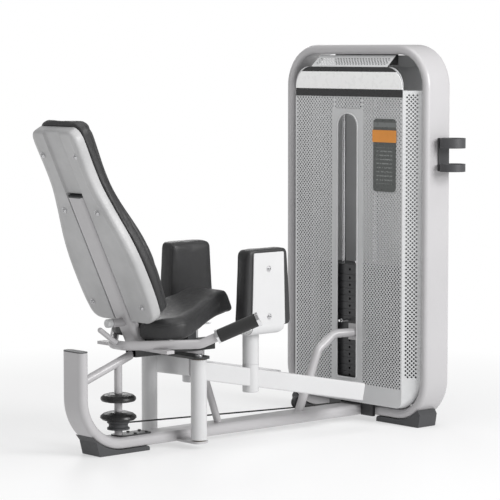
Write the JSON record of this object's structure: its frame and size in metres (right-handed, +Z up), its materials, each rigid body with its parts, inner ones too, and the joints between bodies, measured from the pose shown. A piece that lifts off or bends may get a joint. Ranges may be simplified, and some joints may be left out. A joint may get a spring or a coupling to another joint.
{
  "type": "hip abductor machine",
  "caption": "Selectorised hip abductor and adductor machine: a seat with a reclined back and swinging thigh pads, cable-linked to a covered weight tower.",
  "frame": {"origin": "on the floor, in the machine's mid plane, at the middle of the rear foot's rest face", "axes": "+X to the seated user's right, +Y the way the user faces (towards the weight tower), +Z up"},
  "size_m": [0.9267, 1.6795, 1.5],
  "materials": {
    "frame_silver": "satin silver-grey powder coat",
    "arm_silver": "satin light silver powder coat",
    "cover_grey": "satin grey powder coat, perforated sheet",
    "trim_grey": "moulded trim",
    "dark_plastic": "fine texture",
    "shell_grey": "smooth grey moulded shell",
    "black_vinyl": "matt upholstery vinyl over foam",
    "black_rubber": "matt",
    "black_steel": "black powder coat",
    "stack_black": "black painted weight plates",
    "chrome": "polished",
    "zinc": "zinc plated",
    "bronze": "plain bearing",
    "label_white": "printed panel with plain bands",
    "placard_grey": "printed card with plain rows"
  },
  "bodies": {
    "frame": {"tower_frame": "frame_silver", "tower_feet": "dark_plastic", "base_tube": "frame_silver", "rear_foot": "dark_plastic", "base_end_cap": "dark_plastic", "seat_strut": "frame_silver", "pulley_post": "frame_silver", "post_disc": "black_rubber", "seat_column": "frame_silver", "seat_frame": "black_steel", "cross_plate": "black_steel", "pivot_outriggers": "frame_silver", "pivot_shafts": "zinc", "seat_cushion": "black_vinyl", "seat_board": "dark_plastic", "spine_tube": "frame_silver", "spine_cap": "dark_plastic", "backrest_shell": "shell_grey", "backrest_cushion": "black_vinyl", "backrest_bolts": "zinc", "handle_frame": "frame_silver", "hand_grips": "black_rubber", "grip_collars": "chrome", "brace_tube": "frame_silver", "fixed_plates": "stack_black", "guide_rods": "chrome", "rod_foot_blocks": "black_steel", "stack_bumpers": "black_rubber", "head_bracket": "black_steel", "base_pulley_bracket": "black_steel", "pulley_axles": "zinc", "cable": "black_rubber", "post_base_plate": "black_steel", "front_cover": "cover_grey", "rear_cover": "cover_grey", "slot_rim": "trim_grey", "label_panel": "label_white", "placard": "placard_grey", "bottle_holder": "dark_plastic"},
    "right_swing": {"right_arm": "arm_silver", "right_arm_bushings": "bronze"},
    "left_swing": {"left_arm": "arm_silver", "left_arm_bushings": "bronze"},
    "right_thigh_pad": {"right_pad_bracket": "arm_silver", "right_pad_cushion": "black_vinyl", "right_pad_bolts": "zinc"},
    "left_thigh_pad": {"left_pad_bracket": "arm_silver", "left_pad_cushion": "black_vinyl", "left_pad_bolts": "zinc"},
    "lifted_stack": {"lifted_plates": "stack_black", "top_plate": "stack_black", "selector_rod": "chrome"},
    "weight_pin": {"selector_pin": "chrome"},
    "start_knob": {"start_pin": "trim_grey"},
    "top_sheave": {"top_pulley": "dark_plastic"},
    "base_sheave": {"base_pulley": "dark_plastic"},
    "guide_sheave": {"guide_pulley": "dark_plastic"},
    "rear_drum": {"cable_drum": "dark_plastic", "drum_cover": "black_rubber"}
  },
  "joints": [
    {"name": "stack_lift", "type": "slide", "parent": "frame", "child": "lifted_stack", "axis": [0, 0, 1], "range_m": [0, 0.2]},
    {"name": "right_arm_swing", "type": "hinge", "parent": "frame", "child": "right_swing", "pos_m": [0.146, 0.276, 0.18], "axis": [0, 0, -1], "range_deg": [0, 34]},
    {"name": "left_arm_swing", "type": "hinge", "parent": "frame", "child": "left_swing", "pos_m": [-0.146, 0.276, 0.18], "axis": [0, 0, 1], "range_deg": [0, 34]},
    {"name": "right_pad_tilt", "type": "hinge", "parent": "right_swing", "child": "right_thigh_pad", "pos_m": [0.17735, 0.50486, 0.3], "axis": [0, 0, 1], "range_deg": [-8, 8]},
    {"name": "left_pad_tilt", "type": "hinge", "parent": "left_swing", "child": "left_thigh_pad", "pos_m": [-0.17735, 0.50486, 0.3], "axis": [0, 0, -1], "range_deg": [-8, 8]},
    {"name": "pin_pull", "type": "slide", "parent": "lifted_stack", "child": "weight_pin", "axis": [0, -1, 0], "range_m": [0, 0.06]},
    {"name": "start_knob_pull", "type": "slide", "parent": "frame", "child": "start_knob", "axis": [0, -1, 0], "range_m": [0, 0.012]},
    {"name": "top_sheave_spin", "type": "hinge", "parent": "frame", "child": "top_sheave", "pos_m": [0, 1.293, 1.36], "axis": [-1, 0, 0], "range_deg": [-5, 259.65]},
    {"name": "base_sheave_spin", "type": "hinge", "parent": "frame", "child": "base_sheave", "pos_m": [0, 1.307, 0.098], "axis": [-1, 0, 0], "range_deg": [-5, 374.65]},
    {"name": "guide_sheave_spin", "type": "hinge", "parent": "frame", "child": "guide_sheave", "pos_m": [-0.028, 0.929, 0.088], "axis": [-1, 0, 0], "range_deg": [-5, 550.67]},
    {"name": "rear_drum_spin", "type": "hinge", "parent": "frame", "child": "rear_drum", "pos_m": [0, 0.01, 0.102], "axis": [0, 0, 1], "range_deg": [-5, 298.82]}
  ],
  "couplings": [
    {"joint": "right_arm_swing", "follows": "stack_lift", "rad_per_m": 2.9},
    {"joint": "left_arm_swing", "follows": "stack_lift", "rad_per_m": 2.9},
    {"joint": "top_sheave_spin", "follows": "stack_lift", "rad_per_m": 22.222},
    {"joint": "base_sheave_spin", "follows": "stack_lift", "rad_per_m": 32.258},
    {"joint": "guide_sheave_spin", "follows": "stack_lift", "rad_per_m": 47.619},
    {"joint": "rear_drum_spin", "follows": "stack_lift", "rad_per_m": 25.641}
  ]
}
